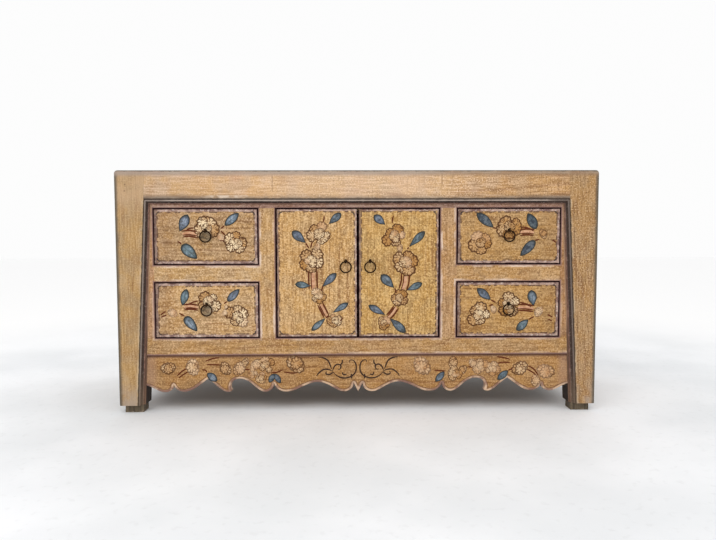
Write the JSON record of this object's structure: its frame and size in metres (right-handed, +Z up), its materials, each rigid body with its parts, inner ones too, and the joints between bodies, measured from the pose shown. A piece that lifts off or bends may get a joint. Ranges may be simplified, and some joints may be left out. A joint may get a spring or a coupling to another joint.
{
  "type": "low tv cabinet",
  "caption": "Low painted wooden cabinet on four legs, with drawers beside a pair of pivot-hung doors, iron ring pulls and a scalloped apron; a television stands on its top.",
  "frame": {"origin": "on the floor, under the middle of the cabinet's outline", "axes": "+X along the length, +Y from the front to the back, +Z up"},
  "size_m": [1.16, 0.4, 0.586],
  "materials": {
    "ochre_paint": "aged ochre paint on wood",
    "flower_paint": "aged ochre paint with painted flowers",
    "dark_bead": "dark worn paint on wood",
    "bare_wood": "plain planed wood",
    "foot_wood": "dark stained wood",
    "iron": "blackened wrought iron"
  },
  "bodies": {
    "carcass": {"apron": "flower_paint", "back_panel": "bare_wood", "bead_left": "dark_bead", "bead_right": "dark_bead", "bead_top": "dark_bead", "bottom_board": "bare_wood", "bottom_rail_back": "ochre_paint", "bottom_rail_front": "ochre_paint", "bottom_rail_left": "ochre_paint", "bottom_rail_right": "ochre_paint", "door_stop": "bare_wood", "drawer_bearers": "bare_wood", "drawer_guides": "bare_wood", "drawer_rail_left": "ochre_paint", "drawer_rail_right": "ochre_paint", "foot_pads": "foot_wood", "head_rail": "ochre_paint", "mullion_left": "ochre_paint", "mullion_right": "ochre_paint", "partition_left": "bare_wood", "partition_right": "bare_wood", "post_back_left": "ochre_paint", "post_back_right": "ochre_paint", "post_front_left": "ochre_paint", "post_front_right": "ochre_paint", "scribe_strip_left": "ochre_paint", "scribe_strip_right": "ochre_paint", "side_panel_left": "ochre_paint", "side_panel_right": "ochre_paint", "top_panel": "ochre_paint", "top_rail_back": "ochre_paint", "top_rail_front": "ochre_paint", "top_rail_left": "ochre_paint", "top_rail_right": "ochre_paint"},
    "drawer_upper_left": {"drawer_upper_left_front": "flower_paint", "drawer_upper_left_box": "bare_wood", "drawer_upper_left_bottom": "bare_wood", "drawer_upper_left_eye": "iron"},
    "ring_upper_left": {"drawer_upper_left_ring": "iron"},
    "drawer_upper_right": {"drawer_upper_right_front": "flower_paint", "drawer_upper_right_box": "bare_wood", "drawer_upper_right_bottom": "bare_wood", "drawer_upper_right_eye": "iron"},
    "ring_upper_right": {"drawer_upper_right_ring": "iron"},
    "drawer_lower_left": {"drawer_lower_left_front": "flower_paint", "drawer_lower_left_box": "bare_wood", "drawer_lower_left_bottom": "bare_wood", "drawer_lower_left_eye": "iron"},
    "ring_lower_left": {"drawer_lower_left_ring": "iron"},
    "drawer_lower_right": {"drawer_lower_right_front": "flower_paint", "drawer_lower_right_box": "bare_wood", "drawer_lower_right_bottom": "bare_wood", "drawer_lower_right_eye": "iron"},
    "ring_lower_right": {"drawer_lower_right_ring": "iron"},
    "door_left": {"door_left_panel": "flower_paint", "door_left_eye": "iron"},
    "ring_door_left": {"door_left_ring": "iron"},
    "door_right": {"door_right_panel": "flower_paint", "door_right_eye": "iron"},
    "ring_door_right": {"door_right_ring": "iron"}
  },
  "joints": [
    {"name": "drawer_upper_left_slide", "type": "slide", "parent": "carcass", "child": "drawer_upper_left", "axis": [0, -1, 0], "range_m": [0, 0.25]},
    {"name": "ring_upper_left_swing", "type": "hinge", "parent": "drawer_upper_left", "child": "ring_upper_left", "pos_m": [-0.3668, -0.1946, 0.44257], "axis": [-1, 0, 0], "range_deg": [-5, 160]},
    {"name": "drawer_upper_right_slide", "type": "slide", "parent": "carcass", "child": "drawer_upper_right", "axis": [0, -1, 0], "range_m": [0, 0.25]},
    {"name": "ring_upper_right_swing", "type": "hinge", "parent": "drawer_upper_right", "child": "ring_upper_right", "pos_m": [0.3668, -0.1946, 0.44257], "axis": [-1, 0, 0], "range_deg": [-5, 160]},
    {"name": "drawer_lower_left_slide", "type": "slide", "parent": "carcass", "child": "drawer_lower_left", "axis": [0, -1, 0], "range_m": [0, 0.25]},
    {"name": "ring_lower_left_swing", "type": "hinge", "parent": "drawer_lower_left", "child": "ring_lower_left", "pos_m": [-0.3668, -0.1946, 0.26383], "axis": [-1, 0, 0], "range_deg": [-5, 160]},
    {"name": "drawer_lower_right_slide", "type": "slide", "parent": "carcass", "child": "drawer_lower_right", "axis": [0, -1, 0], "range_m": [0, 0.25]},
    {"name": "ring_lower_right_swing", "type": "hinge", "parent": "drawer_lower_right", "child": "ring_lower_right", "pos_m": [0.3668, -0.1946, 0.26383], "axis": [-1, 0, 0], "range_deg": [-5, 160]},
    {"name": "door_left_swing", "type": "hinge", "parent": "carcass", "child": "door_left", "pos_m": [-0.189, -0.18, 0.33875], "axis": [0, 0, -1], "range_deg": [0, 95]},
    {"name": "ring_door_left_swing", "type": "hinge", "parent": "door_left", "child": "ring_door_left", "pos_m": [-0.0296, -0.1946, 0.3682], "axis": [-1, 0, 0], "range_deg": [-5, 160]},
    {"name": "door_right_swing", "type": "hinge", "parent": "carcass", "child": "door_right", "pos_m": [0.189, -0.18, 0.33875], "axis": [0, 0, 1], "range_deg": [0, 95]},
    {"name": "ring_door_right_swing", "type": "hinge", "parent": "door_right", "child": "ring_door_right", "pos_m": [0.0296, -0.1946, 0.3682], "axis": [-1, 0, 0], "range_deg": [-5, 160]}
  ]
}
